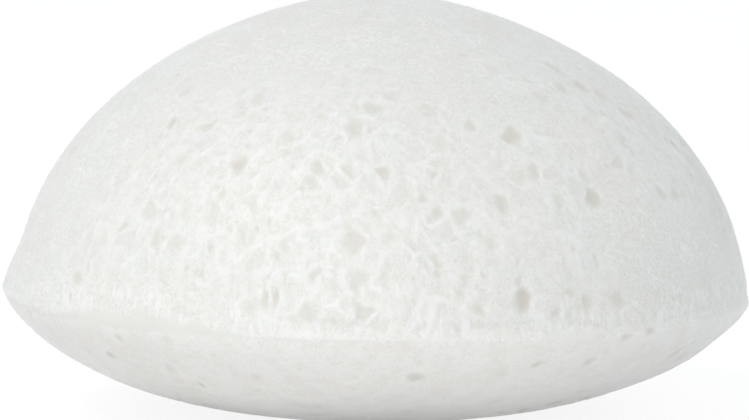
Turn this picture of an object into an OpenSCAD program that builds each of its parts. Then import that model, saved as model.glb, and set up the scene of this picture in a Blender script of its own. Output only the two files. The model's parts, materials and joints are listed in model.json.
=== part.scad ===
// Konjac sponge for washing the face: one casting of konjac foam with nothing set in it.
// A low dome lies over a shallow bowl, and the two meet at a thin raised rim. Open pores
// break its skin, larger and closer together on the dome, small and sparse on the bowl.
// The origin is the middle of the small flat that the sponge stands on, with +Z up.

/* [Body] */
// Diameter of the sponge, measured over its rim
rim_d = 80; // [64:1:110]
// Height of the dome above the rim
dome_h = 32; // [24:0.5:40]
// Depth of the bowl from the rim down to the flat
bowl_h = 13; // [10:0.5:18]
// Fullness of the dome's outline, where 2 is an ellipse and less is leaner
dome_power = 1.8; // [1.6:0.05:2.4]
// Fullness of the bowl's outline, where 2 is an ellipse and less is leaner
bowl_power = 2; // [1.7:0.05:2.4]
// Depth of the bowl's tip that is cut away to make the flat
flat_cut = 0.5; // [0.3:0.1:1.2]

/* [Rim] */
// Thickness of the rounded lip round the rim
lip_t = 1.6; // [1.2:0.1:3]
// How far the lip stands out from the dome
lip_out = 0.3; // [0.2:0.05:0.5]

/* [Pores] */
// Number of large pores in the dome
dome_pores = 100; // [0:1:140]
// Number of pores in the bowl
bowl_pores = 26; // [0:1:40]
// Diameter of the largest pore in the dome
dome_pore_d = 3; // [1.5:0.1:3.4]
// Diameter of the largest pore in the bowl
bowl_pore_d = 2; // [1:0.1:2.4]

/* [Hidden] */
// Straight runs in the outline of the dome, and in that of the bowl
dome_steps = 16;
bowl_steps = 12;
// Facets of the turned body, and of a pore or the lip's section
body_fn = 180;
pore_fn = 32;
// The dome and the bowl meet at body_r, inside the lip, which stands out past them
body_r = rim_d / 2 - lip_out;
lip_r = lip_t / 2;
lip_mid_r = rim_d / 2 - lip_r;
// The bowl's full depth, before its tip is cut away, and the flat that the cut leaves
bowl_full_h = bowl_h + flat_cut;
flat_r = body_r * sqrt(1 - pow(bowl_h / bowl_full_h, bowl_power));
// The pores keep their own diameter clear of the lip and of the flat
dome_pore_low = lip_r + dome_pore_d;
dome_fill = 1 - pow(dome_pore_low / dome_h, dome_power / 2);
bowl_pore_in = flat_r + bowl_pore_d;
bowl_pore_out = rim_d / 2 - lip_t - bowl_pore_d;
// Each pore turns on from the last by the golden angle, so that no two rows line up
golden_angle = 180 * (3 - sqrt(5));
// Sizes of the pores as shares of the largest, taken in turn
pore_size_shares = [1, 0.6, 0.75, 0.5, 0.9, 0.55, 0.7];
// A pore's middle lies this share of its radius under the skin
pore_sink_share = 0.3;
// A pore strays from its even place by up to these shares of a step, down and around
stray_share = 0.35;
stray_turn_share = 0.09;
stray_seed = 11;
strays = rands(-1, 1, 2 * (dome_pores + bowl_pores) + 2, stray_seed);

function unit(v) = v / norm(v);

// The dome's outline at an angle from its top, as radius and height over the rim, and
// the outward direction there
function dome_at(a) = [body_r * sin(a), dome_h * pow(cos(a), 2 / dome_power)];
function dome_out(p) =
    unit([2 * p[0] / pow(body_r, 2), dome_power * pow(p[1], dome_power - 1) / pow(dome_h, dome_power)]);

// The bowl's outline at a share of its radius, with heights below zero, and the outward
// direction there
function bowl_at(s) = [body_r * s, -bowl_full_h * pow(1 - pow(s, 2), 1 / bowl_power)];
function bowl_out(p) =
    unit([2 * p[0] / pow(body_r, 2),
          -bowl_power * pow(-p[1], bowl_power - 1) / pow(bowl_full_h, bowl_power)]);

// Half of the section through the dome and the bowl, turned into one closed body
module turned_body() {
    dome = [for (i = [0 : dome_steps]) dome_at(90 * i / dome_steps)];
    // Even steps of angle from the rim in to the edge of the flat
    flat_a = acos(flat_r / body_r);
    bowl = [for (i = [1 : bowl_steps]) bowl_at(cos(flat_a * i / bowl_steps))];
    rotate_extrude($fn = body_fn) polygon(concat(dome, bowl, [[0, -bowl_h]]));
}

// The rounded lip that the two halves of the mould leave round the rim
module lip() {
    rotate_extrude($fn = body_fn) translate([lip_mid_r, 0]) circle(r = lip_r, $fn = pore_fn);
}

// One round pore, its middle under the skin at p and its own axis square to the skin
module pore(p, out, turn, r) {
    mid = p - out * r * pore_sink_share;
    rotate([0, 0, turn]) translate([mid[0], 0, mid[1]]) rotate([0, atan2(out[0], out[1]), 0])
        sphere(r = r, $fn = pore_fn);
}

// Radius of the pore with this number, and the angle that it is turned to
function pore_r(i, largest_d) = largest_d / 2 * pore_size_shares[i % len(pore_size_shares)];
function pore_turn(i, stray) = golden_angle * (i + stray_turn_share * stray);

// Pores spread evenly by area, from the dome's top down to just above the lip
module dome_pore_field() {
    for (i = [0 : 1 : dome_pores - 1]) {
        down = (i + 0.5 + stray_share * strays[2 * i]) / dome_pores;
        p = dome_at(acos(1 - dome_fill * down));
        pore(p, dome_out(p), pore_turn(i, strays[2 * i + 1]), pore_r(i, dome_pore_d));
    }
}

// Pores spread evenly by area, from beside the flat out to just inside the lip
module bowl_pore_field() {
    for (i = [0 : 1 : bowl_pores - 1]) {
        k = 2 * (dome_pores + i);
        along = (i + 0.5 + stray_share * strays[k]) / bowl_pores;
        in_sq = pow(bowl_pore_in, 2);
        p = bowl_at(sqrt(in_sq + along * (pow(bowl_pore_out, 2) - in_sq)) / body_r);
        pore(p, bowl_out(p), pore_turn(i, strays[k + 1]), pore_r(i, bowl_pore_d));
    }
}

module sponge_body() {
    color("#ecece8")
    translate([0, 0, bowl_h])
    difference() {
        union() {
            turned_body();
            lip();
        }
        dome_pore_field();
        bowl_pore_field();
    }
}

sponge_body();
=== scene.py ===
"""Dresses the konjac sponge: moist konjac foam on a pale floor under soft light."""

import json
import logging
import math
from dataclasses import dataclass, field
from enum import Enum
from typing import Any

import bpy
from mathutils import Matrix, Vector

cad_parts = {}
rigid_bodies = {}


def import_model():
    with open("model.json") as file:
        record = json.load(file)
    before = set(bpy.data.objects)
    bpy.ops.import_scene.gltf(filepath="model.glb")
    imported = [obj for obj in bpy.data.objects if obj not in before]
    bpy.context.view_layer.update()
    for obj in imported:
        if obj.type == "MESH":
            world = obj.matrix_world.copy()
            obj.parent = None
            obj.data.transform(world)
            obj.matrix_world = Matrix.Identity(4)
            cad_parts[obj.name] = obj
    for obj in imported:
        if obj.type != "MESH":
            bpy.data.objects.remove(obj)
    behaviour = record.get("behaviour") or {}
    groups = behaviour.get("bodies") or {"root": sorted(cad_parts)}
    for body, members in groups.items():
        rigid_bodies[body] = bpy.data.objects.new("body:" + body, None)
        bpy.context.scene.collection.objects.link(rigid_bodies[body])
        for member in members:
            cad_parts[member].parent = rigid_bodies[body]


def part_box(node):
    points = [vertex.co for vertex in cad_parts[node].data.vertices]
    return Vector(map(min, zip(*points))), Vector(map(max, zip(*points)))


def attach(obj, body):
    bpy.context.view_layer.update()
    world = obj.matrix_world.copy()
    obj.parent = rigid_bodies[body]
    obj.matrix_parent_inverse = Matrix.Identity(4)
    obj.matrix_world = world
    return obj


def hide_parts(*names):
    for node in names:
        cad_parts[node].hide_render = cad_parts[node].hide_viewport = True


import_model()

log = logging.getLogger("konjac_sponge")

MM = 0.001

Node = bpy.types.Node
Socket = bpy.types.NodeSocket
Sockets = bpy.types.NodeOutputs
# A colour, a place, a direction or a scale along each axis
Triple = tuple[float, float, float]
# The two values that a Map Range node takes, and the two that it gives for them
Ramp = tuple[float, float, float, float]
# Added where that ramp is rounded at both ends
ROUNDED = {"interpolation_type": "SMOOTHSTEP"}


class Kind(Enum):
    """The kinds of node that the trees here are made of."""

    GROUP_IN = "NodeGroupInput"
    GROUP_OUT = "NodeGroupOutput"
    CUBE = "GeometryNodeMeshCube"
    SET_POSITION = "GeometryNodeSetPosition"
    SET_SMOOTH = "GeometryNodeSetShadeSmooth"
    SET_MATERIAL = "GeometryNodeSetMaterial"
    REALIZE = "GeometryNodeRealizeInstances"
    STORE = "GeometryNodeStoreNamedAttribute"
    TRANSFORM = "GeometryNodeTransform"
    POSITION = "GeometryNodeInputPosition"
    NORMAL = "GeometryNodeInputNormal"
    MATH = "ShaderNodeMath"
    VECTOR_MATH = "ShaderNodeVectorMath"
    MAP_RANGE = "ShaderNodeMapRange"
    MIX = "ShaderNodeMix"
    NOISE = "ShaderNodeTexNoise"
    VORONOI = "ShaderNodeTexVoronoi"
    SPLIT_XYZ = "ShaderNodeSeparateXYZ"
    JOIN_XYZ = "ShaderNodeCombineXYZ"
    ATTRIBUTE = "ShaderNodeAttribute"
    COORDINATES = "ShaderNodeTexCoord"
    BUMP = "ShaderNodeBump"
    ROTATE = "ShaderNodeVectorRotate"
    PRINCIPLED = "ShaderNodeBsdfPrincipled"
    DIFFUSE = "ShaderNodeBsdfDiffuse"
    EMISSION = "ShaderNodeEmission"
    CLEAR = "ShaderNodeBsdfTransparent"
    ADD_SHADER = "ShaderNodeAddShader"
    MIX_SHADER = "ShaderNodeMixShader"
    LIGHT_PATH = "ShaderNodeLightPath"
    FACING = "ShaderNodeNewGeometry"
    BACKGROUND = "ShaderNodeBackground"
    MATERIAL_OUT = "ShaderNodeOutputMaterial"
    WORLD_OUT = "ShaderNodeOutputWorld"


class Stored(Enum):
    """The values that the foam's mesh keeps at each point, for its material to read."""

    PORE = "pore"
    DEEP = "deep"
    EDGE = "edge"
    DENSE = "dense"
    STRUT = "strut"
    TORN = "torn"
    OPEN = "open"
    SMOOTH = "smooth"
    SKIN = "skin"


Seen = dict[Stored, Socket]


@dataclass
class Wiring:
    """A node tree that is being built."""

    tree: bpy.types.NodeTree

    def add(self, kind: Kind, *feeds: Any, named: dict[str, Any] | None = None, **settings: Any) -> Node:
        """Adds one node with its settings and its links.

        Args:
            kind: The kind of node.
            feeds: What its enabled inputs take, in order: a node, a socket, a plain value,
                or None to leave that input alone.
            named: The same by the input's name, for nodes with many inputs.
            settings: Properties of the node, set before its inputs are fed.

        Returns:
            The new node.
        """
        node = self.tree.nodes.new(kind.value)
        for name, value in settings.items():
            setattr(node, name, value)
        sockets = [s for s in node.inputs if s.enabled]
        pairs = list(zip(sockets, feeds))
        pairs += [(node.inputs[name], value) for name, value in (named or {}).items()]
        for socket, value in pairs:
            if isinstance(value, Node):
                value = next(s for s in value.outputs if s.enabled)
            if isinstance(value, Socket):
                self.tree.links.new(value, socket)
            elif value is not None:
                socket.default_value = value
        return node


def linear(colour: str) -> tuple[float, float, float, float]:
    """Turns an sRGB hex colour such as "#f0f0ee" into linear RGBA."""
    parts = [int(colour[i : i + 2], 16) / 255 for i in (1, 3, 5)]
    return (*[c / 12.92 if c <= 0.04045 else ((c + 0.055) / 1.055) ** 2.4 for c in parts], 1.0)


def empty_material(name: str) -> tuple[bpy.types.Material, Wiring]:
    """Makes a material with no nodes yet.

    Args:
        name: The material's name.

    Returns:
        The material, and its tree to build.
    """
    made = bpy.data.materials.new(name)
    made.use_nodes = True
    made.node_tree.nodes.clear()
    return made, Wiring(made.node_tree)


def put(name: str, data: bpy.types.ID) -> bpy.types.Object:
    """Puts a new object into the scene.

    Args:
        name: The object's name.
        data: Its mesh, light or camera.

    Returns:
        The object.
    """
    made = bpy.data.objects.new(name, data)
    bpy.context.scene.collection.objects.link(made)
    return made


def seen_directly(w: Wiring) -> Node:
    """Tells what is seen from what only lights something.

    Args:
        w: The tree.

    Returns:
        1 for a ray from the camera, a reflection or a clear body, and 0 for other light.
    """
    rays = w.add(Kind.LIGHT_PATH).outputs
    straight = w.add(Kind.MATH, rays["Is Camera Ray"], rays["Is Glossy Ray"], operation="MAXIMUM")
    return w.add(Kind.MATH, straight, rays["Is Transmission Ray"], operation="MAXIMUM")


def bell(w: Wiring, value: Node | Socket, middle: float, half: float) -> Node:
    """A bump along a value: 1 at its middle, falling away to both sides.

    Args:
        w: The tree.
        value: The value that it runs along.
        middle: Where the bump is highest.
        half: How far from there it has fallen to about a third.

    Returns:
        Its height.
    """
    off = w.add(Kind.MATH, value, -middle, operation="ADD")
    off = w.add(Kind.MATH, off, half, operation="DIVIDE")
    off_sq = w.add(Kind.MATH, off, off, operation="MULTIPLY")
    fall = w.add(Kind.MATH, off_sq, -1.0, operation="MULTIPLY")
    return w.add(Kind.MATH, math.e, fall, operation="POWER")


@dataclass(frozen=True)
class Grain:
    """The grain of one noise.

    Attributes:
        mm: Width of its largest lumps, in millimetres.
        detail: How many finer sizes of lump lie on these.
        roughness: How strong each finer size is, as a share of the one before.
        distortion: How far the lumps are pulled about.
        step: How many times finer each size is than the one before.
    """

    mm: float
    detail: float = 1.0
    roughness: float = 0.5
    distortion: float = 0.0
    step: float = 2.0

    def feeds(self) -> tuple[float, ...]:
        """What a Noise node takes after its place in millimetres."""
        return (1 / self.mm, self.detail, self.roughness, self.step, self.distortion)


@dataclass(frozen=True)
class MoistKonjacFoam:
    """Konjac gel foam, cast and frozen: a wet, milky, slightly translucent gel.

    Light goes some three millimetres into it, which softens the shade in its pores, so the
    pores are given painted shade, darkest and most beige in the deepest. Its struts are denser
    and whiter, and the water on them gives small glints; white specks, and partly the fibres'
    ridges and the strands, are painted glints.
    """

    name: str = "moist konjac gel foam"
    # The open foam, cool and warm, and its dense white gel, which the painted glints take too
    foam: str = "#eeefec"
    warm: str = "#efedea"
    strut: str = "#fdfdfc"
    # Painted shade in the pores: the dome's pores, the deepest of them, and the bowl's pores
    pore: str = "#e7e5e0"
    deep: str = "#dfdbd1"
    skin_pore_shade: str = "#d8d5d0"
    # The bowl's moulded skin, thin and dense, and the part of it that laps over the rim. The
    # skin is whiter than the open foam, partly its own colour and partly painted light on the
    # underside, which the lamps reach less
    skin: str = "#faf8f5"
    dense_skin: str = "#f5f2ee"
    # The lap's grey: partly the skin's own where it laps over, partly painted shade along the rim
    lap: str = "#e3e2dd"
    lap_and_rim_shade_share: float = 0.3
    # How far light goes in, and the share of that for red, green and blue
    gel_depth_mm: float = 3.0
    gel_reach: Triple = (1.0, 0.96, 0.9)
    gel_ior: float = 1.37
    # The film of water, which settles in the hollows and softens each glint
    water_weight: float = 0.5
    water_roughness: float = 0.3
    water_ior: float = 1.45
    # Fibres, drawn out a little along the height. Real ones are a few hundredths of a
    # millimetre thick, so they and their strands are drawn about five times as coarse
    fibre: Grain = Grain(0.22, 1.5, 0.6, 0.5)
    fibre_scale: Triple = (1.0, 1.0, 0.85)
    # Whiter on the fibres' ridges (dense gel, partly painted highlight), darker between (partly painted
    # shade)
    fibre_white_and_highlight: Ramp = (0.48, 0.66, 0.0, 0.58)
    fibre_thin_and_shade: Ramp = (0.52, 0.32, 0.0, 1.0)
    thin_and_shade_if_smooth: Ramp = (0.0, 1.0, 1.0, 0.3)
    # Strands of denser gel, slanting two ways, in clusters, partly painted glints
    strand: Grain = Grain(0.5, 2.0, 0.6, 0.4)
    strand_slants: tuple[Triple, ...] = ((0.9, 0.7, 0.0), (-0.8, 0.9, 0.5))
    strand_scale: Triple = (1.0, 1.0, 0.28)
    strand_white: Ramp = (0.51, 0.66, 0.0, 1.0)
    cluster: Grain = Grain(3.6)
    cluster_share: Ramp = (0.4, 0.6, 0.08, 0.9)
    # Painted glints: white specks, their radii and softness as shares of their spacing
    painted_glint_mm: float = 0.65
    painted_glint_shake_mm: float = 0.45
    painted_glint_radius: Ramp = (0.32, 1.0, 0.0, 0.44)
    painted_glint_white: Ramp = (-0.04, 0.12, 0.0, 1.0)
    painted_glint_if_clustered: Ramp = (0.08, 0.9, 0.5, 1.0)
    # Strokes where the gel tore, and clouds of dense gel in the open foam
    pulled_scale: Triple = (1.0, 1.0, 0.33)
    stroke: Grain = Grain(0.85, 2.0, 0.6)
    stroke_white: Ramp = (0.48, 0.62, 0.0, 1.0)
    cloud: Grain = Grain(1.3, 3.0, 0.65)
    cloud_white: Ramp = (0.5, 0.68, 0.0, 0.5)
    solid_if_pore: Ramp = (0.1, 0.9, 1.0, 0.15)
    # Walls between large bubbles, by the distance from their middle in millimetres
    wall_ragged_mm: Ramp = (0.3, 0.7, -0.1, 0.1)
    wall_white: Ramp = (0.02, 0.3, 1.0, 0.0)
    # Slow changes of tone and wetness
    mottle: Grain = Grain(7.0, 2.0)
    warm_share: Ramp = (0.42, 0.6, 0.0, 1.0)
    wet_roughness: Ramp = (0.35, 0.65, 0.44, 0.58)
    blotch: Grain = Grain(2.2, 2.0, 0.6)
    dense_skin_share: Ramp = (0.58, 0.38, 0.0, 1.0)
    # How much of the painted shade of the deepest pores shows, by their depth
    deep_shade_share: Ramp = (0.4, 1.0, 0.0, 0.9)
    # How much of the threads shows, less in open foam and least on smooth skin
    open_plainness: float = 0.6
    threads_if_plain: Ramp = (0.0, 1.0, 0.9, 0.12)
    # How far the threads stand out, for the gel and for the water on it
    relief_if_smooth: Ramp = (0.0, 1.0, 1.0, 0.06)
    gel_relief_mm: float = 0.008
    water_relief_mm: float = 0.075

    def material(self) -> bpy.types.Material:
        """Builds the foam's material, which reads the values stored on the mesh.

        Returns:
            The material.
        """
        made, w = empty_material(self.name)
        here = w.add(Kind.COORDINATES).outputs["Object"]
        mm = w.add(Kind.VECTOR_MATH, here, 1 / MM, operation="SCALE")
        seen = {s: w.add(Kind.ATTRIBUTE, attribute_name=s.value).outputs["Fac"] for s in Stored}
        drawn = w.add(Kind.VECTOR_MATH, mm, self.fibre_scale, operation="MULTIPLY")
        fibre = w.add(Kind.NOISE, drawn, *self.fibre.feeds())
        mottle = w.add(Kind.NOISE, mm, *self.mottle.feeds())
        under = self.gel_colour(w, mm, seen, fibre, mottle)
        # The white over the gel is dense gel, and in part painted glints
        white = self.threads(w, mm, seen, fibre)
        for more in (self.strokes(w, mm, seen), self.walls(w, seen, fibre)):
            white = w.add(Kind.MATH, white, more, operation="MAXIMUM")
        colour = w.add(Kind.MIX, white, under, linear(self.strut), data_type="RGBA")
        relief = w.add(Kind.MAP_RANGE, seen[Stored.SMOOTH], *self.relief_if_smooth)
        shader = w.add(
            Kind.PRINCIPLED,
            named={
                "Base Color": colour,
                "Roughness": w.add(Kind.MAP_RANGE, mottle, *self.wet_roughness),
                "IOR": self.gel_ior,
                "Normal": w.add(Kind.BUMP, relief, self.gel_relief_mm * MM, None, fibre),
                "Subsurface Weight": 1.0,
                "Subsurface Radius": self.gel_reach,
                "Subsurface Scale": self.gel_depth_mm * MM,
                "Coat Weight": self.water_weight,
                "Coat Roughness": self.water_roughness,
                "Coat IOR": self.water_ior,
                "Coat Normal": w.add(Kind.BUMP, relief, self.water_relief_mm * MM, None, fibre),
            },
        )
        w.add(Kind.MATERIAL_OUT, shader)
        return made

    def gel_colour(self, w: Wiring, mm: Node, seen: Seen, fibre: Node, mottle: Node) -> Node:
        """The gel's colour, from the skin and open foam down to the painted shade of the deepest pores.

        Args:
            w: The tree.
            mm: The place in millimetres.
            seen: The values stored on the mesh.
            fibre: The noise that the fibres follow.
            mottle: The slow changes of tone.

        Returns:
            The colour.
        """
        smooth, skin = seen[Stored.SMOOTH], seen[Stored.SKIN]
        warmth = w.add(Kind.MAP_RANGE, mottle, *self.warm_share, **ROUNDED)
        cast = w.add(Kind.MIX, warmth, linear(self.foam), linear(self.warm), data_type="RGBA")
        blotch = w.add(Kind.NOISE, mm, *self.blotch.feeds())
        denser = w.add(Kind.MAP_RANGE, blotch, *self.dense_skin_share, **ROUNDED)
        # Whiter than the open foam: partly the skin's own colour, partly painted light on the underside
        moulded_skin_and_painted_light = w.add(Kind.MIX, denser, linear(self.skin), linear(self.dense_skin), data_type="RGBA")
        ground = w.add(Kind.MIX, skin, cast, moulded_skin_and_painted_light, data_type="RGBA")
        # Where the bowl's skin laps over the rim it is thick, clear and greyer; the same grey
        # in a thin line all round at the rim is painted shade
        bare = w.add(Kind.MATH, 1.0, skin, operation="SUBTRACT")
        lap_and_rim_shade = w.add(Kind.MATH, smooth, bare, operation="MULTIPLY")
        lap_and_rim_shade = w.add(Kind.MATH, lap_and_rim_shade, self.lap_and_rim_shade_share, operation="MULTIPLY")
        ground = w.add(Kind.MIX, lap_and_rim_shade, ground, linear(self.lap), data_type="RGBA")
        # Between the fibres the gel is a little darker, partly as it is thin there and partly painted
        # shade, as in a pore
        thinner_and_shaded = w.add(Kind.MAP_RANGE, fibre, *self.fibre_thin_and_shade, **ROUNDED)
        kept = w.add(Kind.MAP_RANGE, smooth, *self.thin_and_shade_if_smooth)
        thinner_and_shaded = w.add(Kind.MATH, thinner_and_shaded, kept, operation="MULTIPLY")
        # Painted shade: the pores and the gaps between fibres take darker colours, the deepest pores the
        # darkest
        hollow_shade = w.add(Kind.MATH, seen[Stored.PORE], thinner_and_shaded, operation="MAXIMUM")
        pore_shade = w.add(Kind.MIX, skin, linear(self.pore), linear(self.skin_pore_shade), data_type="RGBA")
        shaded_hollows = w.add(Kind.MIX, hollow_shade, ground, pore_shade, data_type="RGBA")
        deep_shade = w.add(Kind.MAP_RANGE, seen[Stored.DEEP], *self.deep_shade_share, **ROUNDED)
        deep_shade = w.add(Kind.MATH, deep_shade, bare, operation="MULTIPLY")
        return w.add(Kind.MIX, deep_shade, shaded_hollows, linear(self.deep), data_type="RGBA")

    def threads(self, w: Wiring, mm: Node, seen: Seen, fibre: Node) -> Node:
        """Fibres and strands of dense gel, partly painted glints, painted glint specks, and the pale
        edge along the rim.

        Args:
            w: The tree.
            mm: The place in millimetres.
            seen: The values stored on the mesh.
            fibre: The noise that the fibres follow.

        Returns:
            How white they are, up to 1.
        """
        cluster = w.add(Kind.NOISE, mm, *self.cluster.feeds())
        cluster = w.add(Kind.MAP_RANGE, cluster, *self.cluster_share)
        strands = []
        for slant in self.strand_slants:
            turned = w.add(Kind.ROTATE, mm, None, slant, rotation_type="EULER_XYZ")
            long = w.add(Kind.VECTOR_MATH, turned, self.strand_scale, operation="MULTIPLY")
            strand = w.add(Kind.NOISE, long, *self.strand.feeds())
            strands.append(w.add(Kind.MAP_RANGE, strand, *self.strand_white, **ROUNDED))
        lace_and_glints = w.add(Kind.MATH, *strands, operation="MAXIMUM")
        lace_and_glints = w.add(Kind.MATH, lace_and_glints, cluster, operation="MULTIPLY")
        # Painted glints: white specks, shaken so that no two are alike
        shake = w.add(Kind.VECTOR_MATH, fibre.outputs["Color"], self.painted_glint_shake_mm, operation="SCALE")
        shaken = w.add(Kind.VECTOR_MATH, mm, shake, operation="ADD")
        cell = w.add(Kind.VORONOI, shaken, 1 / self.painted_glint_mm, feature="F1")
        chance = w.add(Kind.SPLIT_XYZ, cell.outputs["Color"]).outputs["X"]
        radius = w.add(Kind.MAP_RANGE, chance, *self.painted_glint_radius)
        within = w.add(Kind.MATH, radius, cell.outputs["Distance"], operation="SUBTRACT")
        painted_glint = w.add(Kind.MAP_RANGE, within, *self.painted_glint_white, **ROUNDED)
        painted_glint_clustered = w.add(Kind.MAP_RANGE, cluster, *self.painted_glint_if_clustered)
        painted_glint = w.add(Kind.MATH, painted_glint, painted_glint_clustered, operation="MULTIPLY")
        # Whiter along the fibres' ridges: partly dense gel, partly painted highlights on wet ridges
        ridge_white_and_highlight = w.add(Kind.MAP_RANGE, fibre, *self.fibre_white_and_highlight, **ROUNDED)
        threads = w.add(Kind.MATH, ridge_white_and_highlight, lace_and_glints, operation="MAXIMUM")
        threads = w.add(Kind.MATH, threads, painted_glint, operation="MAXIMUM")
        plain = w.add(Kind.MATH, seen[Stored.OPEN], self.open_plainness, operation="MULTIPLY")
        for hidden in (seen[Stored.PORE], seen[Stored.SMOOTH]):
            plain = w.add(Kind.MATH, plain, hidden, operation="MAXIMUM")
        shown = w.add(Kind.MAP_RANGE, plain, *self.threads_if_plain)
        threads = w.add(Kind.MATH, threads, shown, operation="MULTIPLY")
        return w.add(Kind.MATH, threads, seen[Stored.STRUT], operation="MAXIMUM")

    def strokes(self, w: Wiring, mm: Node, seen: Seen) -> Node:
        """Strokes of gel, drawn out where it tore, and clouds of it between the pores.

        Args:
            w: The tree.
            mm: The place in millimetres.
            seen: The values stored on the mesh.

        Returns:
            How white they are, up to 1.
        """
        pulled = w.add(Kind.VECTOR_MATH, mm, self.pulled_scale, operation="MULTIPLY")
        solid = w.add(Kind.MAP_RANGE, seen[Stored.PORE], *self.solid_if_pore)
        white = []
        for grain, ramp, where in (
            (self.stroke, self.stroke_white, seen[Stored.TORN]),
            (self.cloud, self.cloud_white, seen[Stored.OPEN]),
        ):
            one = w.add(Kind.NOISE, pulled, *grain.feeds())
            one = w.add(Kind.MAP_RANGE, one, *ramp, **ROUNDED)
            one = w.add(Kind.MATH, one, where, operation="MULTIPLY")
            white.append(w.add(Kind.MATH, one, solid, operation="MULTIPLY"))
        return w.add(Kind.MATH, *white, operation="MAXIMUM")

    def walls(self, w: Wiring, seen: Seen, fibre: Node) -> Node:
        """Thin ragged walls between the large bubbles, white where the gel is dense.

        Args:
            w: The tree.
            seen: The values stored on the mesh.
            fibre: The noise that the fibres follow.

        Returns:
            How white they are, up to 1.
        """
        ragged = w.add(Kind.MAP_RANGE, fibre, *self.wall_ragged_mm)
        off_wall = w.add(Kind.MATH, seen[Stored.EDGE], ragged, operation="ADD")
        wall = w.add(Kind.MAP_RANGE, off_wall, *self.wall_white, **ROUNDED)
        return w.add(Kind.MATH, wall, seen[Stored.DENSE], operation="MULTIPLY")


@dataclass(frozen=True)
class MattWhiteBoard:
    """Matt white board for the floor, which reads white to the eye and keeps a soft shadow.

    Light that it scatters on to the sponge takes the board's own colour. To the camera it
    adds a glow to a greyer board, so that it turns white and only the shadow still shows.
    """

    name: str = "matt white board"
    board: str = "#f9f9f9"
    shown: str = "#808080"
    glow: float = 0.86

    def material(self) -> bpy.types.Material:
        """Builds the board's material, clear from below.

        Returns:
            The material.
        """
        made, w = empty_material(self.name)
        plain = w.add(Kind.DIFFUSE, linear(self.board))
        shaded = w.add(Kind.DIFFUSE, linear(self.shown))
        lit = w.add(Kind.ADD_SHADER, shaded, w.add(Kind.EMISSION, None, self.glow))
        top = w.add(Kind.MIX_SHADER, seen_directly(w), plain, lit)
        below = w.add(Kind.FACING).outputs["Backfacing"]
        w.add(Kind.MATERIAL_OUT, w.add(Kind.MIX_SHADER, below, top, w.add(Kind.CLEAR)))
        return made


@dataclass(frozen=True)
class Bubbles:
    """Bubbles of one size that the skin cuts open.

    Attributes:
        pitch_mm: From one bubble's middle to the next, in millimetres.
        radii: Smallest and largest radius, as shares of the pitch.
        depths: Least and greatest depth, as shares of the radius; few are deep.
        full: The share of a pore's own depth at which its painted shade shows fully.
        late: How much of a bubble's chance the share of open ones must pass.
        opening: Over this much more than that a bubble opens.
        wall: Where the wall between two bubbles ends, as a share of the pitch.
        rarity: How few bubbles are deep.
        strength: How plainly the painted shade of shallow bubbles and deep ones shows.
    """

    pitch_mm: float
    radii: tuple[float, float]
    depths: tuple[float, float]
    full: float = 0.8
    late: float = 0.85
    opening: Ramp = (0.0, 0.2, 0.0, 1.0)
    wall: Ramp = (0.0, 0.16, 0.0, 1.0)
    rarity: float = 2.5
    strength: Ramp = (0.0, 0.6, 0.38, 1.0)

    def cut(self, w: Wiring, space: Node, pitch: Socket, share: Node) -> tuple[Node, Node]:
        """Cuts the bubbles open.

        Args:
            w: The tree.
            space: The place in the foam, in millimetres.
            pitch: The tree's input for the pitch.
            share: From 0, where none is open, to 1, where almost all are.

        Returns:
            The depth of the pores in millimetres, and how strongly the painted shade of each shows, up to
            1.
        """
        scale = w.add(Kind.MATH, 1.0, pitch, operation="DIVIDE")
        cell = w.add(Kind.VORONOI, space, scale, feature="F1")
        edge = w.add(Kind.VORONOI, space, scale, feature="DISTANCE_TO_EDGE")
        chance, size, rare = w.add(Kind.SPLIT_XYZ, cell.outputs["Color"]).outputs
        late = w.add(Kind.MATH, chance, -self.late, operation="MULTIPLY")
        opened = w.add(Kind.MATH, share, late, operation="ADD")
        opened = w.add(Kind.MAP_RANGE, opened, *self.opening, **ROUNDED)
        radius = w.add(Kind.MAP_RANGE, size, 0.0, 1.0, *self.radii)
        radius = w.add(Kind.MATH, radius, opened, operation="MULTIPLY")
        # A round hollow in each cell, cut off where the wall to the next one stands
        radius_sq = w.add(Kind.MATH, radius, radius, operation="MULTIPLY")
        away = cell.outputs["Distance"]
        away_sq = w.add(Kind.MATH, away, away, operation="MULTIPLY")
        inside = w.add(Kind.MATH, radius_sq, away_sq, operation="SUBTRACT")
        inside = w.add(Kind.MATH, inside, 0.0, operation="MAXIMUM")
        never_zero = w.add(Kind.MATH, radius_sq, 0.0001, operation="ADD")
        share_in = w.add(Kind.MATH, inside, never_zero, operation="DIVIDE")
        wall = w.add(Kind.MAP_RANGE, edge, *self.wall, **ROUNDED)
        rare = w.add(Kind.MATH, rare, self.rarity, operation="POWER")
        depth = share_in
        for factor in (radius, wall, pitch, w.add(Kind.MAP_RANGE, rare, 0.0, 1.0, *self.depths)):
            depth = w.add(Kind.MATH, depth, factor, operation="MULTIPLY")
        # Painted shade: a shallow pore shows faintly, a deep one plainly
        shown = w.add(Kind.MATH, share_in, wall, operation="MULTIPLY")
        shown = w.add(Kind.MAP_RANGE, shown, 0.0, self.full, 0.0, 1.0, **ROUNDED)
        strength = w.add(Kind.MAP_RANGE, rare, *self.strength)
        return depth, w.add(Kind.MATH, shown, strength, operation="MULTIPLY")


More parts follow.
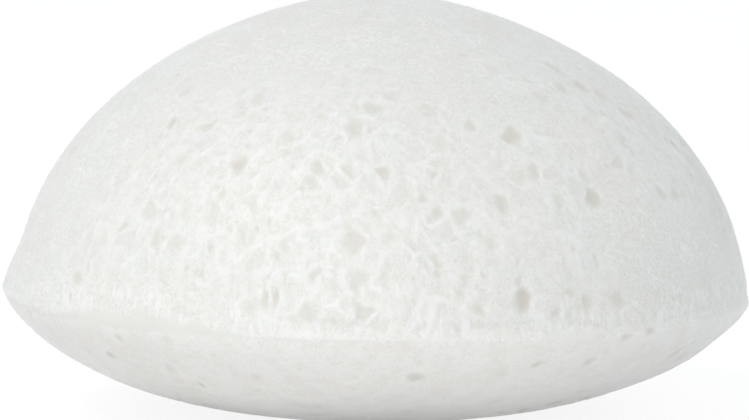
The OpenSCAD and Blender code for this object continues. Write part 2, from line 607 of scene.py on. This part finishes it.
@dataclass
class SpongeBody:
    """The sponge itself, one casting of konjac foam: a dome over a bowl and a thin rim.

    Attributes:
        rim_r: Radius over the rim, in metres.
        height: Height from the flat to the top of the dome, in metres.
        finish: What the foam is made of.
    """

    rim_r: float
    height: float
    finish: MoistKonjacFoam = field(default_factory=MoistKonjacFoam)
    # Points along each edge of the cube that the mesh is blown up from
    points_a_side: int = 289
    seed: int = 3
    seed_step: Triple = (61.0, 37.0, 83.0)
    # The even form; a power of 2 is an ellipse, and less is leaner
    dome_share: float = 32 / 45
    flat_cut_mm: float = 0.27
    dome_power: float = 1.874
    dome_side_power: float = 1.857
    bowl_power: float = 1.955
    bowl_side_power: float = 1.837
    # The lip round the rim, which the bowl's skin hides at the front on the left
    lip_out_mm: float = 0.2
    lip_half_mm: float = 0.5
    lip_hidden_at: Triple = (-25.0, -31.0, 0.0)
    lip_bare: Ramp = (10.0, 22.0, 0.25, 1.0)
    # A crease over the lip that comes and goes
    crease_up_mm: float = 1.3
    crease_half_mm: float = 0.5
    crease: Grain = Grain(7.0)
    crease_in_mm: Ramp = (0.42, 0.6, 0.0, 0.12)
    # Slow swells, none of them at the flat
    swell: Grain = Grain(24.0)
    swell_from: Triple = (17.0, 5.0, 9.0)
    swell_out_mm: Ramp = (0.3, 0.7, -0.2, 0.2)
    swell_if_high: Ramp = (-13.0, -9.0, 0.0, 1.0)
    # How far the sides are drawn in over a height, above the rim and under it
    left_drawn_in: tuple[tuple[float, float], ...] = ((6.0, -1.0), (-4.0, -0.65))
    right_drawn_in: tuple[tuple[float, float], ...] = ((6.0, -0.2), (-4.0, -1.2))
    # The rim sits higher on the left than on the right
    skew_mm: float = -0.6
    skew_half_mm: float = 8.0
    # How far bubbles stray from even rows, and how far the rising foam drew them out
    wander_mm: tuple[tuple[float, float], ...] = ((6.0, 2.6), (1.6, 0.9))
    risen: float = 1.35
    # The bubbles: large and small ones in the dome, and a few in the bowl's skin
    large: Bubbles = Bubbles(2.4, (0.36, 0.62), (0.04, 0.22))
    small: Bubbles = Bubbles(1.5, (0.26, 0.5), (0.05, 0.24))
    in_skin: Bubbles = Bubbles(3.0, (0.24, 0.5), (0.02, 0.1), full=1.25)
    in_skin_share: float = 0.58
    # Where the skin is broken: a large patch at the front, and others around
    front_middle: Triple = (-2.0, -33.0, 9.0)
    front_patch: Ramp = (11.0, 27.0, 1.0, 0.0)
    patch: Grain = Grain(26.0)
    patch_share: Ramp = (0.43, 0.6, 0.1, 0.9)
    # Where the bowl's skin laps over the rim, and its ragged edge
    lap_middle: Triple = (-25.0, -31.0, 0.5)
    lap_up_mm: Ramp = (5.0, 14.0, 1.3, 0.0)
    lap_edge: Grain = Grain(5.0, 2.0)
    lap_edge_mm: Ramp = (0.35, 0.65, -0.35, 0.4)
    # What changes with the height over that edge
    broken_if_over: Ramp = (0.0, 0.9, 0.0, 1.0)
    smooth_if_over: Ramp = (0.3, -0.4, 0.0, 1.0)
    depth_if_over: Ramp = (0.2, 1.8, 0.0, 1.0)
    tone_if_over: Ramp = (0.5, 1.5, 0.0, 1.0)
    bowl_if_under: Ramp = (0.2, -0.5, 0.0, 1.0)
    # Walls between the large bubbles, as shares of the pitch, and where they are dense
    wall_edge: Ramp = (0.0, 0.12, 1.0, 0.0)
    dense: Grain = Grain(1.5, 2.0, 0.7)
    dense_share: Ramp = (0.42, 0.62, 0.0, 0.85)
    # Short strokes of drawn gel, most of them in a band over the rim
    stroke: Grain = Grain(0.8, 1.0, 0.6)
    stroke_scale: Triple = (1.0, 1.0, 0.34)
    stroke_share: Ramp = (0.48, 0.64, 0.0, 1.0)
    band_up_mm: float = 1.6
    band_half_mm: float = 1.7
    run: Grain = Grain(5.5)
    run_share: Ramp = (0.36, 0.58, 0.3, 1.0)
    stroked_if_broken: float = 0.5
    # A thin pale edge along the rim
    rim_line_half_mm: float = 0.3
    rim_line_share: float = 0.2
    # The foam's fine roughness, and how far walls and strokes stand out
    fuzz: Grain = Grain(1.0, 1.0, 0.6)
    fuzz_scale: Triple = (1.0, 1.0, 0.7)
    fuzz_mm: Ramp = (0.1, 1.0, 0.1, 0.28)
    standing_mm: float = 0.07
    # A pore this deep takes the darkest painted shade
    darkest_shade_mm: float = 0.38

    def tree(self) -> tuple[bpy.types.NodeTree, dict[str, float]]:
        """Builds the rule that shapes the foam.

        Returns:
            The node tree, and the value of each of its named inputs.
        """
        dome_mm = self.height * self.dome_share / MM
        sizes = {
            "Body Radius": self.rim_r / MM - self.lip_out_mm,
            "Dome Height": dome_mm,
            "Bowl Height": self.height / MM - dome_mm,
            "Flat Cut": self.flat_cut_mm,
            "Lip Out": self.lip_out_mm,
            "Cell": self.large.pitch_mm,
            "Small Cell": self.small.pitch_mm,
            "Skin Cell": self.in_skin.pitch_mm,
            "Seed": float(self.seed),
        }
        made = bpy.data.node_groups.new("foam_rule", "GeometryNodeTree")
        for name in sizes:
            made.interface.new_socket(name=name, in_out="INPUT", socket_type="NodeSocketFloat")
        made.interface.new_socket(name="Geometry", in_out="OUTPUT", socket_type="NodeSocketGeometry")
        w = Wiring(made)
        size = w.add(Kind.GROUP_IN).outputs
        form = self.even_form(w, size)
        grown = self.grown_form(w, size, form)
        foam = self.open_foam(w, size, grown)
        up = w.add(Kind.MATH, size["Bowl Height"], MM, operation="MULTIPLY")
        lift = w.add(Kind.JOIN_XYZ, 0.0, 0.0, up)
        metres = w.add(Kind.TRANSFORM, foam, lift, None, (MM, MM, MM))
        real = w.add(Kind.REALIZE, w.add(Kind.SET_SMOOTH, metres))
        w.add(Kind.GROUP_OUT, w.add(Kind.SET_MATERIAL, real, None, self.finish.material()))
        return made, sizes

    def even_form(self, w: Wiring, size: Sockets) -> Node:
        """The dome and the bowl as turned, in millimetres, with the rim at height zero.

        Args:
            w: The tree.
            size: The tree's named inputs.

        Returns:
            The geometry with that form.
        """
        n = self.points_a_side
        cube = w.add(Kind.CUBE, (2.0, 2.0, 2.0), n, n, n)
        # A cube's grid, spread to even angles and blown up to a ball
        angle = w.add(Kind.VECTOR_MATH, w.add(Kind.POSITION), math.pi / 4, operation="SCALE")
        spread = w.add(Kind.VECTOR_MATH, angle, operation="TANGENT")
        ball = w.add(Kind.VECTOR_MATH, spread, operation="NORMALIZE")
        z = w.add(Kind.SPLIT_XYZ, ball).outputs["Z"]
        level = w.add(Kind.VECTOR_MATH, ball, (1.0, 1.0, 0.0), operation="MULTIPLY")
        wide = w.add(Kind.VECTOR_MATH, level, operation="LENGTH").outputs["Value"]
        # The dome, a little leaner than an ellipse
        over = w.add(Kind.MATH, z, 0.0, operation="MAXIMUM")
        rise = w.add(Kind.MATH, over, 2 / self.dome_power, operation="POWER")
        dome_z = w.add(Kind.MATH, rise, size["Dome Height"], operation="MULTIPLY")
        lean = w.add(Kind.MATH, wide, 2 / self.dome_side_power - 1, operation="POWER")
        # The bowl, and its flat
        full = w.add(Kind.MATH, size["Bowl Height"], size["Flat Cut"], operation="ADD")
        taken = w.add(Kind.MATH, wide, self.bowl_side_power, operation="POWER")
        rest = w.add(Kind.MATH, 1.0, taken, operation="SUBTRACT")
        rest = w.add(Kind.MATH, rest, 0.0, operation="MAXIMUM")
        drop = w.add(Kind.MATH, rest, 1 / self.bowl_power, operation="POWER")
        drop = w.add(Kind.MATH, drop, full, operation="MULTIPLY")
        bowl_z = w.add(Kind.MATH, drop, -1.0, operation="MULTIPLY")
        in_dome = w.add(Kind.MATH, z, 0.0, operation="GREATER_THAN")
        height = w.add(Kind.MIX, in_dome, bowl_z, dome_z, data_type="FLOAT")
        thin = w.add(Kind.MIX, in_dome, 1.0, lean, data_type="FLOAT")
        radius = w.add(Kind.MATH, thin, size["Body Radius"], operation="MULTIPLY")
        out = w.add(Kind.VECTOR_MATH, level, radius, operation="SCALE")
        up = w.add(Kind.JOIN_XYZ, 0.0, 0.0, height)
        place = w.add(Kind.VECTOR_MATH, out, up, operation="ADD")
        return w.add(Kind.SET_POSITION, cube.outputs["Mesh"], None, place)

    def grown_form(self, w: Wiring, size: Sockets, form: Node) -> Node:
        """The form as it comes from the mould: uneven, with a lip that runs a little askew.

        Args:
            w: The tree.
            size: The tree's named inputs.
            form: The geometry with the even form.

        Returns:
            The geometry with the uneven form.
        """
        here = w.add(Kind.POSITION)
        x, _, z = w.add(Kind.SPLIT_XYZ, here).outputs
        side = w.add(Kind.MATH, x, size["Body Radius"], operation="DIVIDE")
        # The lip stands out round the rim, over a shallow crease that comes and goes
        off = w.add(Kind.VECTOR_MATH, here, self.lip_hidden_at, operation="DISTANCE")
        bare = w.add(Kind.MAP_RANGE, off.outputs["Value"], *self.lip_bare, **ROUNDED)
        lip = bell(w, z, 0.0, self.lip_half_mm)
        lip = w.add(Kind.MATH, lip, bare, operation="MULTIPLY")
        lip = w.add(Kind.MATH, lip, size["Lip Out"], operation="MULTIPLY")
        come_and_go = w.add(Kind.NOISE, here, *self.crease.feeds())
        come_and_go = w.add(Kind.MAP_RANGE, come_and_go, *self.crease_in_mm, **ROUNDED)
        crease = bell(w, z, self.crease_up_mm, self.crease_half_mm)
        crease = w.add(Kind.MATH, crease, come_and_go, operation="MULTIPLY")
        slow = w.add(Kind.VECTOR_MATH, here, self.swell_from, operation="ADD")
        swell = w.add(Kind.NOISE, slow, *self.swell.feeds())
        swell = w.add(Kind.MAP_RANGE, swell, *self.swell_out_mm)
        off_flat = w.add(Kind.MAP_RANGE, z, *self.swell_if_high, **ROUNDED)
        swell = w.add(Kind.MATH, swell, off_flat, operation="MULTIPLY")
        swell = w.add(Kind.MATH, swell, crease, operation="SUBTRACT")
        out = w.add(Kind.MATH, lip, swell, operation="ADD")
        outward = w.add(Kind.VECTOR_MATH, w.add(Kind.NORMAL), out, operation="SCALE")
        # The sides are drawn in a little, each in its own measure
        right = w.add(Kind.MATH, side, 0.0, operation="MAXIMUM")
        left = w.add(Kind.MATH, side, 0.0, operation="MINIMUM")
        left = w.add(Kind.MATH, left, -1.0, operation="MULTIPLY")
        inward = 0.0
        for part, measures in ((left, self.left_drawn_in), (right, self.right_drawn_in)):
            for reach, amount in measures:
                on = w.add(Kind.MAP_RANGE, z, 0.0, reach, 0.0, amount, **ROUNDED)
                on = w.add(Kind.MATH, part, on, operation="MULTIPLY")
                inward = w.add(Kind.MATH, on, inward, operation="ADD")
        level = w.add(Kind.VECTOR_MATH, here, (1.0, 1.0, 0.0), operation="MULTIPLY")
        level = w.add(Kind.VECTOR_MATH, level, operation="NORMALIZE")
        inward = w.add(Kind.VECTOR_MATH, level, inward, operation="SCALE")
        outward = w.add(Kind.VECTOR_MATH, inward, outward, operation="ADD")
        # The rim sits higher on the left than on the right
        skew = w.add(Kind.MATH, side, self.skew_mm, operation="MULTIPLY")
        skew = w.add(Kind.MATH, skew, bell(w, z, 0.0, self.skew_half_mm), operation="MULTIPLY")
        up = w.add(Kind.JOIN_XYZ, 0.0, 0.0, skew)
        move = w.add(Kind.VECTOR_MATH, outward, up, operation="ADD")
        return w.add(Kind.SET_POSITION, form, None, None, move)

    def strayed(self, w: Wiring, seeded: Node) -> Node:
        """The place in the foam, shifted about so that the bubbles stand in no rows.

        Args:
            w: The tree.
            seeded: The place, moved on by the seed.

        Returns:
            The shifted place.
        """
        strayed = seeded
        for coarse, reach in self.wander_mm:
            wander = w.add(Kind.NOISE, seeded, *Grain(coarse).feeds()).outputs["Color"]
            wander = w.add(Kind.VECTOR_MATH, wander, (0.5, 0.5, 0.5), operation="SUBTRACT")
            wander = w.add(Kind.VECTOR_MATH, wander, reach, operation="SCALE")
            strayed = w.add(Kind.VECTOR_MATH, strayed, wander, operation="ADD")
        return strayed

    def over_lap(self, w: Wiring, here: Node, z: Socket) -> Node:
        """The height over the edge of the bowl's skin, which laps over the rim.

        Args:
            w: The tree.
            here: The place in millimetres.
            z: The height over the rim.

        Returns:
            The height in millimetres.
        """
        off = w.add(Kind.VECTOR_MATH, here, self.lap_middle, operation="DISTANCE")
        lap = w.add(Kind.MAP_RANGE, off.outputs["Value"], *self.lap_up_mm, **ROUNDED)
        ragged = w.add(Kind.NOISE, here, *self.lap_edge.feeds())
        ragged = w.add(Kind.MAP_RANGE, ragged, *self.lap_edge_mm)
        edge_z = w.add(Kind.MATH, lap, ragged, operation="ADD")
        return w.add(Kind.MATH, z, edge_z, operation="SUBTRACT")

    def broken(self, w: Wiring, here: Node, seeded: Node, over: Node) -> Node:
        """Where the dome's skin is broken.

        Args:
            w: The tree.
            here: The place in millimetres.
            seeded: The place, moved on by the seed.
            over: The height over the edge of the bowl's skin.

        Returns:
            How broken it is, from 0 to 1.
        """
        off = w.add(Kind.VECTOR_MATH, here, self.front_middle, operation="DISTANCE")
        front = w.add(Kind.MAP_RANGE, off.outputs["Value"], *self.front_patch, **ROUNDED)
        patch = w.add(Kind.NOISE, seeded, *self.patch.feeds())
        patch = w.add(Kind.MAP_RANGE, patch, *self.patch_share, **ROUNDED)
        broken = w.add(Kind.MATH, front, patch, operation="MAXIMUM")
        on_dome = w.add(Kind.MAP_RANGE, over, *self.broken_if_over, **ROUNDED)
        return w.add(Kind.MATH, broken, on_dome, operation="MULTIPLY")

    def open_foam(self, w: Wiring, size: Sockets, grown: Node) -> Node:
        """Breaks the skin: bubbles cut open, struts between them, all above the flat.

        Args:
            w: The tree.
            size: The tree's named inputs.
            grown: The geometry with the uneven form.

        Returns:
            The geometry of the finished foam, still in millimetres.
        """
        here = w.add(Kind.POSITION)
        z = w.add(Kind.SPLIT_XYZ, here).outputs["Z"]
        seed = w.add(Kind.VECTOR_MATH, self.seed_step, size["Seed"], operation="SCALE")
        seeded = w.add(Kind.VECTOR_MATH, here, seed, operation="ADD")
        strayed = self.strayed(w, seeded)
        risen = (1.0, 1.0, 1 / self.risen)
        drawn = w.add(Kind.VECTOR_MATH, strayed, risen, operation="MULTIPLY")
        over = self.over_lap(w, here, z)
        broken = self.broken(w, here, seeded, over)
        smooth = w.add(Kind.MAP_RANGE, over, *self.smooth_if_over, **ROUNDED)
        on_bowl = w.add(Kind.MAP_RANGE, z, *self.bowl_if_under, **ROUNDED)
        few = w.add(Kind.MATH, on_bowl, self.in_skin_share, operation="MULTIPLY")
        sets = (
            self.large.cut(w, drawn, size["Cell"], broken),
            self.small.cut(w, drawn, size["Small Cell"], broken),
        )
        skin_depth, skin_tone = self.in_skin.cut(w, strayed, size["Skin Cell"], few)
        depth, tone = (w.add(Kind.MATH, *pair, operation="MAXIMUM") for pair in zip(*sets))
        # The rim is left whole
        whole = w.add(Kind.MAP_RANGE, over, *self.depth_if_over, **ROUNDED)
        depth = w.add(Kind.MATH, depth, whole, operation="MULTIPLY")
        depth = w.add(Kind.MATH, depth, skin_depth, operation="MAXIMUM")
        # Near the rim the painted shade of the dome's pores fades away too
        whole = w.add(Kind.MAP_RANGE, over, *self.tone_if_over)
        tone = w.add(Kind.MATH, tone, whole, operation="MULTIPLY")
        tone = w.add(Kind.MATH, tone, skin_tone, operation="MAXIMUM")
        # Walls between the large bubbles, and only here and there dense and white
        scale = w.add(Kind.MATH, 1.0, size["Cell"], operation="DIVIDE")
        edge = w.add(Kind.VORONOI, drawn, scale, feature="DISTANCE_TO_EDGE")
        wall = w.add(Kind.MAP_RANGE, edge, *self.wall_edge, **ROUNDED)
        edge_mm = w.add(Kind.MATH, edge, size["Cell"], operation="MULTIPLY")
        dense = w.add(Kind.NOISE, strayed, *self.dense.feeds())
        dense = w.add(Kind.MAP_RANGE, dense, *self.dense_share)
        dense = w.add(Kind.MATH, dense, broken, operation="MULTIPLY")
        wall = w.add(Kind.MATH, wall, dense, operation="MULTIPLY")
        # Strokes where the mould tore the gel, thickest in a band that comes and goes
        runs = w.add(Kind.NOISE, here, *self.run.feeds())
        runs = w.add(Kind.MAP_RANGE, runs, *self.run_share)
        band = bell(w, over, self.band_up_mm, self.band_half_mm)
        band = w.add(Kind.MATH, band, runs, operation="MULTIPLY")
        torn = w.add(Kind.MATH, broken, self.stroked_if_broken, operation="MULTIPLY")
        torn = w.add(Kind.MATH, band, torn, operation="MAXIMUM")
        pulled = w.add(Kind.VECTOR_MATH, strayed, self.stroke_scale, operation="MULTIPLY")
        stroke = w.add(Kind.NOISE, pulled, *self.stroke.feeds())
        stroke = w.add(Kind.MAP_RANGE, stroke, *self.stroke_share, **ROUNDED)
        stroke = w.add(Kind.MATH, stroke, torn, operation="MULTIPLY")
        line = bell(w, z, 0.0, self.rim_line_half_mm)
        line = w.add(Kind.MATH, line, runs, operation="MULTIPLY")
        line = w.add(Kind.MATH, line, self.rim_line_share, operation="MULTIPLY")
        # Fine roughness, under the walls and strokes that stand out and the pores that go in
        fine = w.add(Kind.VECTOR_MATH, strayed, self.fuzz_scale, operation="MULTIPLY")
        fuzz = w.add(Kind.NOISE, fine, *self.fuzz.feeds())
        fuzz = w.add(Kind.MATH, fuzz, -0.5, operation="ADD")
        reach = w.add(Kind.MAP_RANGE, broken, *self.fuzz_mm)
        fuzz = w.add(Kind.MATH, fuzz, reach, operation="MULTIPLY")
        standing = w.add(Kind.MATH, wall, stroke, operation="MAXIMUM")
        standing = w.add(Kind.MATH, standing, self.standing_mm, operation="MULTIPLY")
        out = w.add(Kind.MATH, standing, fuzz, operation="ADD")
        out = w.add(Kind.MATH, out, depth, operation="SUBTRACT")
        shade_per_mm = 1 / self.darkest_shade_mm
        seen = {
            Stored.PORE: tone,
            Stored.DEEP: w.add(Kind.MATH, depth, shade_per_mm, operation="MULTIPLY", use_clamp=True),
            Stored.EDGE: edge_mm,
            Stored.DENSE: dense,
            Stored.STRUT: line,
            Stored.TORN: torn,
            Stored.OPEN: broken,
            Stored.SMOOTH: smooth,
            Stored.SKIN: on_bowl,
        }
        kept = grown
        for item, value in seen.items():
            kept = w.add(Kind.STORE, kept, None, item.value, value, data_type="FLOAT", domain="POINT")
        move = w.add(Kind.VECTOR_MATH, w.add(Kind.NORMAL), out, operation="SCALE")
        opened = w.add(Kind.SET_POSITION, kept, None, None, move)
        # Nothing reaches below the flat
        x, y, z = w.add(Kind.SPLIT_XYZ, w.add(Kind.POSITION)).outputs
        floor = w.add(Kind.MATH, size["Bowl Height"], -1.0, operation="MULTIPLY")
        floored = w.add(Kind.MATH, z, floor, operation="MAXIMUM")
        return w.add(Kind.SET_POSITION, opened, None, w.add(Kind.JOIN_XYZ, x, y, floored))

    def build(self) -> bpy.types.Object:
        """Makes the piece as a plain mesh.

        Returns:
            The piece, at the origin and unscaled, with its place in its mesh.
        """
        tree, sizes = self.tree()
        rough = put("rough_foam", bpy.data.meshes.new("rough_foam"))
        rule = rough.modifiers.new("foam", "NODES")
        rule.node_group = tree
        for item in tree.interface.items_tree:
            if item.in_out == "INPUT":
                rule[item.identifier] = sizes[item.name]
        bpy.context.view_layer.update()
        done = rough.evaluated_get(bpy.context.evaluated_depsgraph_get())
        mesh = bpy.data.meshes.new_from_object(done)
        mesh.name = "foam_body"
        bpy.data.objects.remove(rough)
        return put("foam_body", mesh)

    def place(self) -> bpy.types.Object:
        """Makes the piece, hangs it on the root body and hides the CAD part that it replaces.

        Returns:
            The piece.
        """
        piece = self.build()
        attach(piece, "root")
        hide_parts("sponge_body")
        log.info("foam_body: %d points, %d faces", len(piece.data.vertices), len(piece.data.polygons))
        return piece


@dataclass
class Floor:
    """The pale floor that the sponge stands on, far wider than any view of it."""

    width: float = 6.0
    gap: float = 0.05 * MM
    finish: MattWhiteBoard = field(default_factory=MattWhiteBoard)

    def place(self) -> bpy.types.Object:
        """Makes the floor, just under the flat.

        Returns:
            The floor.
        """
        half = self.width / 2
        corners = [(x * half, y * half, -self.gap) for x, y in ((-1, -1), (1, -1), (1, 1), (-1, 1))]
        mesh = bpy.data.meshes.new("floor")
        mesh.from_pydata(corners, [], [(0, 1, 2, 3)])
        mesh.materials.append(self.finish.material())
        floor = put("floor", mesh)
        log.info("floor: %.1f m wide", self.width)
        return floor


@dataclass(frozen=True)
class Lamp:
    """A soft lamp, aimed at the middle of the sponge.

    Attributes:
        name: The lamp's name.
        azimuth: Degrees round from the front, towards the right.
        elevation: Degrees above the floor.
        share: How much of its colour a face square to the lamp shows by this lamp alone.
        width: Side of the square lamp, in metres.
        colour: The light's colour.
        away: Distance from the sponge, in metres.
    """

    name: str
    azimuth: float
    elevation: float
    share: float
    width: float
    colour: str
    away: float = 1.6

    def place(self, aim: Vector) -> bpy.types.Object:
        """Hangs the lamp.

        Args:
            aim: The point that it faces.

        Returns:
            The lamp.
        """
        turn, lift = math.radians(self.azimuth), math.radians(self.elevation)
        level = math.cos(lift)
        back = Vector((math.sin(turn) * level, -math.cos(turn) * level, math.sin(lift)))
        light = bpy.data.lights.new(self.name, "AREA")
        light.size = self.width
        light.energy = self.share * (math.pi * self.away) ** 2
        light.color = linear(self.colour)[:3]
        lamp = put(self.name, light)
        facing = back.to_track_quat("Z", "Y").to_matrix().to_4x4()
        lamp.matrix_world = Matrix.Translation(aim + back * self.away) @ facing
        lamp.visible_camera = False
        log.info("%s: azimuth %g, elevation %g", self.name, self.azimuth, self.elevation)
        return lamp


@dataclass(frozen=True)
class Studio:
    """Plain soft light: the lamps, and a white world that fills the shadows.

    Attributes:
        lamps: The lamps.
        fill: Strength of the world where it lights the sponge.
        fill_colour: The colour of that light.
        seen_colour: What the camera, a reflection or a clear body shows of the world.
        view_transform: How the picture's values become its colours.
    """

    lamps: tuple[Lamp, ...] = (
        Lamp("key_lamp", azimuth=-54.0, elevation=54.0, share=0.235, width=0.45, colour="#fffaf6"),
        Lamp("low_lamp", azimuth=-11.0, elevation=7.0, share=0.236, width=0.35, colour="#fffaf6"),
        Lamp("side_lamp", azimuth=118.0, elevation=24.0, share=0.05, width=1.4, colour="#fdfdff"),
    )
    fill: float = 0.561
    fill_colour: str = "#f5fcfe"
    seen_colour: str = "#ffffff"
    view_transform: str = "Standard"

    def place(self, aim: Vector) -> None:
        """Hangs the lamps and lights the world.

        Args:
            aim: The point that the lamps face.
        """
        for lamp in self.lamps:
            lamp.place(aim)
        world = bpy.data.worlds.new("soft white room")
        world.use_nodes = True
        world.node_tree.nodes.clear()
        w = Wiring(world.node_tree)
        seen = seen_directly(w)
        strength = w.add(Kind.MAP_RANGE, seen, 0.0, 1.0, self.fill, 1.0)
        tint = w.add(Kind.MIX, seen, linear(self.fill_colour), linear(self.seen_colour), data_type="RGBA")
        w.add(Kind.WORLD_OUT, w.add(Kind.BACKGROUND, tint, strength))
        bpy.context.scene.world = world
        bpy.context.scene.view_settings.view_transform = self.view_transform
        log.info("world: fill %g", self.fill)


@dataclass(frozen=True)
class Viewpoint:
    """Where the picture is taken from: in front, a little above the rim, with a long lens.

    Attributes:
        away: Distance from the middle of the rim, in metres.
        elevation: Degrees above the rim.
        lens_mm: Focal length.
        sensor_mm: Width of the sensor.
        roll: Degrees that the camera is turned about its own axis.
        aim_right: How far right of the rim's middle it points, in metres.
        aim_up: How far above the rim's middle it points, in metres.
        clip: Nearest and furthest distance that it sees, in metres.
    """

    away: float = 0.450
    elevation: float = 6.985
    lens_mm: float = 200.9
    sensor_mm: float = 36.0
    roll: float = 0.37
    aim_right: float = -0.09 * MM
    aim_up: float = 8.73 * MM
    clip: tuple[float, float] = (0.01, 20.0)

    def place(self, rim_middle: Vector) -> bpy.types.Object:
        """Sets up the camera.

        Args:
            rim_middle: The middle of the rim, which the distance is measured from.

        Returns:
            The camera.
        """
        lift = math.radians(self.elevation)
        spot = rim_middle + Vector((0.0, -math.cos(lift), math.sin(lift))) * self.away
        aim = rim_middle + Vector((self.aim_right, 0.0, self.aim_up))
        data = bpy.data.cameras.new("camera")
        data.sensor_width, data.lens = self.sensor_mm, self.lens_mm
        data.clip_start, data.clip_end = self.clip
        camera = put("camera", data)
        turn = (aim - spot).to_track_quat("-Z", "Y").to_matrix().to_4x4()
        roll = Matrix.Rotation(math.radians(self.roll), 4, "Z")
        camera.matrix_world = Matrix.Translation(spot) @ turn @ roll
        bpy.context.scene.camera = camera
        log.info("camera: %g m away, elevation %g", self.away, self.elevation)
        return camera


def main() -> None:
    """Builds the sponge, the floor, the light and the camera."""
    logging.basicConfig(level=logging.INFO, format="%(name)s: %(message)s")
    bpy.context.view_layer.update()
    low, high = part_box("sponge_body")
    body = SpongeBody(rim_r=(high[0] - low[0]) / 2, height=high[2] - low[2])
    rim_middle = Vector((0.0, 0.0, body.height * (1 - body.dome_share)))
    Viewpoint().place(rim_middle)
    body.place()
    Floor().place()
    Studio().place(rim_middle)


if __name__ == "__main__":
    main()
